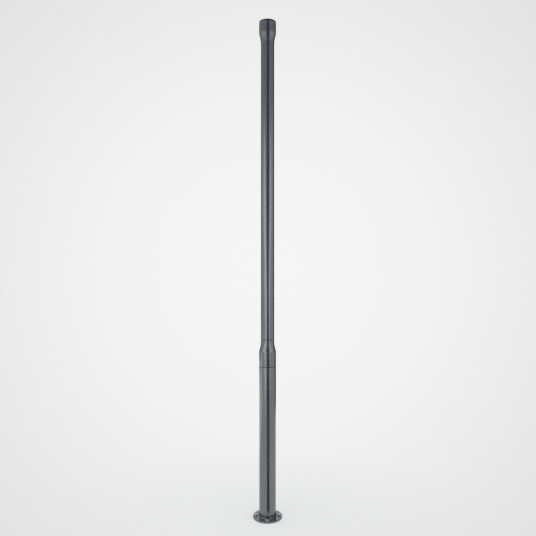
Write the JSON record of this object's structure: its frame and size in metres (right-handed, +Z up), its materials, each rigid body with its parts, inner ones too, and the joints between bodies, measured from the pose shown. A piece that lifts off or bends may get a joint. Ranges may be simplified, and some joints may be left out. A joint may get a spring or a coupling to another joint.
{
  "type": "lamp post",
  "caption": "Stepped tubular lamp post: a bolted round flange, a thick lower tube, a reducer, a slimmer upper tube and a flared collar that takes a lamp head.",
  "frame": {"origin": "centre of the base flange's underside, on the post's axis", "axes": "+Z up along the post, -Y towards the front bolt, +X towards the right bolt"},
  "size_m": [0.132, 0.132, 2.2754],
  "materials": {
    "coat": "semi-gloss anthracite powder coat",
    "stainless": "plain stainless steel",
    "rubber": "matt black EPDM rubber"
  },
  "bodies": {
    "root": {"base_flange": "coat", "foot_weld": "coat", "lower_tube": "coat", "lower_seal_ring": "rubber", "reducer": "coat", "upper_seal_ring": "rubber", "upper_tube": "coat", "head_seal_ring": "rubber", "head_collar": "coat", "head_gasket": "rubber", "washer_front": "stainless", "washer_right": "stainless", "washer_back": "stainless", "washer_left": "stainless", "bolt_front": "stainless", "bolt_right": "stainless", "bolt_back": "stainless", "bolt_left": "stainless"}
  },
  "joints": []
}
